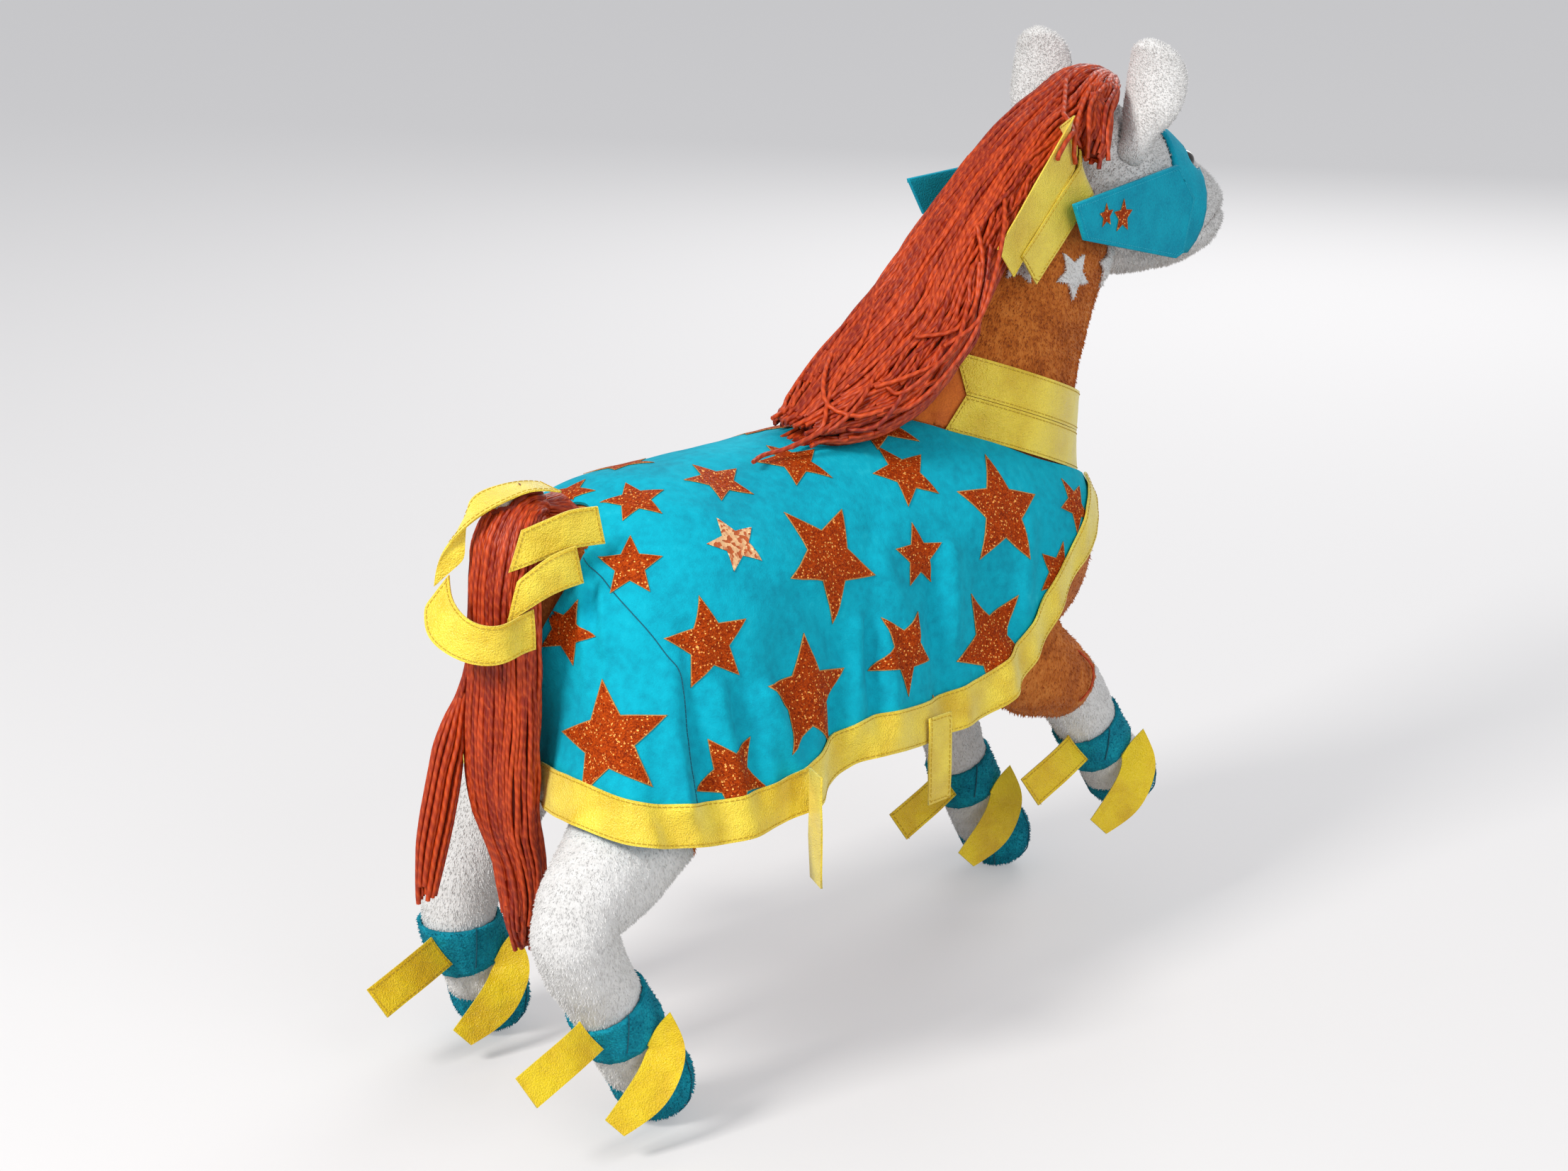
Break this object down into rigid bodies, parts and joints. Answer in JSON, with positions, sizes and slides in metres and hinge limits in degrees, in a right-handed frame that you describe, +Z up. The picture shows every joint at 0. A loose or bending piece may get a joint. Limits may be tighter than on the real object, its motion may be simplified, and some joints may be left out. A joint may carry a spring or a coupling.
{
  "type": "stuffed toy horse",
  "caption": "Standing plush horse with yarn mane and tail, a star-patterned turquoise blanket, satin ribbons, felt blinkers and one raised foreleg",
  "frame": {"origin": "middle of the outline seen from above, on the ground that the three standing hooves rest on", "axes": "+X is the way the horse faces, +Y is the horse's left, and +Z is up"},
  "size_m": [0.5634, 0.2264, 0.4669],
  "materials": {
    "brown_plush": "matte",
    "white_plush": "matte",
    "teal_felt": "matte",
    "turquoise_cloth": "matte",
    "yellow_satin": "satin",
    "red_yarn": "satin",
    "orange_cloth": "matte",
    "black_bead": "gloss"
  },
  "bodies": {
    "horse": {"torso": "brown_plush", "neck": "brown_plush", "head": "white_plush", "hind_left_upper": "brown_plush", "hind_left_leg": "white_plush", "hind_left_hoof": "teal_felt", "hind_left_band": "teal_felt", "hind_left_ribbon_trailing": "yellow_satin", "hind_left_ribbon_crossing": "yellow_satin", "hind_right_upper": "brown_plush", "hind_right_leg": "white_plush", "hind_right_hoof": "teal_felt", "hind_right_band": "teal_felt", "hind_right_ribbon_trailing": "yellow_satin", "hind_right_ribbon_crossing": "yellow_satin", "fore_left_upper": "brown_plush", "fore_left_leg": "white_plush", "fore_left_hoof": "teal_felt", "fore_left_band": "teal_felt", "fore_left_ribbon_trailing": "yellow_satin", "fore_left_ribbon_crossing": "yellow_satin", "fore_right_upper": "brown_plush", "fore_right_leg": "white_plush", "fore_right_hoof": "teal_felt", "fore_right_band": "teal_felt", "fore_right_ribbon_trailing": "yellow_satin", "fore_right_ribbon_crossing": "yellow_satin", "blanket": "turquoise_cloth", "hem_ribbon_right": "yellow_satin", "hem_ribbon_left": "yellow_satin", "collar_lining": "orange_cloth", "collar_ribbon_lower": "yellow_satin", "collar_ribbon_upper": "yellow_satin", "mane": "red_yarn", "forelock": "red_yarn", "mask": "turquoise_cloth", "eye_left": "black_bead", "eye_right": "black_bead", "cheek_ribbon_front": "yellow_satin", "cheek_ribbon_back": "yellow_satin", "neck_star_left": "white_plush", "neck_star_right": "white_plush", "hem_tab_front_left": "yellow_satin", "hem_tab_front_right": "yellow_satin", "hem_tab_rear_left": "yellow_satin", "hem_tab_rear_right": "yellow_satin"},
    "tail": {"tail_dock": "white_plush", "tail_yarn": "red_yarn", "tail_lock": "red_yarn", "tail_ribbon_loop_upper": "yellow_satin", "tail_ribbon_loop_lower": "yellow_satin", "tail_ribbon_end_upper": "yellow_satin", "tail_ribbon_end_lower": "yellow_satin"},
    "ear_left": {"ear_left": "white_plush"},
    "ear_right": {"ear_right": "white_plush"},
    "blinker_left": {"blinker_left": "turquoise_cloth"},
    "blinker_right": {"blinker_right": "turquoise_cloth"}
  },
  "joints": [
    {"name": "tail_lift", "type": "hinge", "parent": "horse", "child": "tail", "pos_m": [-0.18931, -0.00003, 0.27599], "axis": [0, 1, 0], "range_deg": [0, 30]},
    {"name": "ear_left_swing", "type": "hinge", "parent": "horse", "child": "ear_left", "pos_m": [0.17958, 0.035, 0.40901], "axis": [0, 1, 0], "range_deg": [-5, 20], "stiffness_Nm_per_rad": 0.05},
    {"name": "ear_right_swing", "type": "hinge", "parent": "horse", "child": "ear_right", "pos_m": [0.17958, -0.03505, 0.40901], "axis": [0, 1, 0], "range_deg": [-5, 20], "stiffness_Nm_per_rad": 0.05},
    {"name": "blinker_left_swing", "type": "hinge", "parent": "horse", "child": "blinker_left", "pos_m": [0.22559, 0.04048, 0.38003], "axis": [0, 0, -1], "range_deg": [0, 30], "stiffness_Nm_per_rad": 0.05},
    {"name": "blinker_right_swing", "type": "hinge", "parent": "horse", "child": "blinker_right", "pos_m": [0.22559, -0.04054, 0.38003], "axis": [0, 0, 1], "range_deg": [0, 30], "stiffness_Nm_per_rad": 0.05}
  ]
}
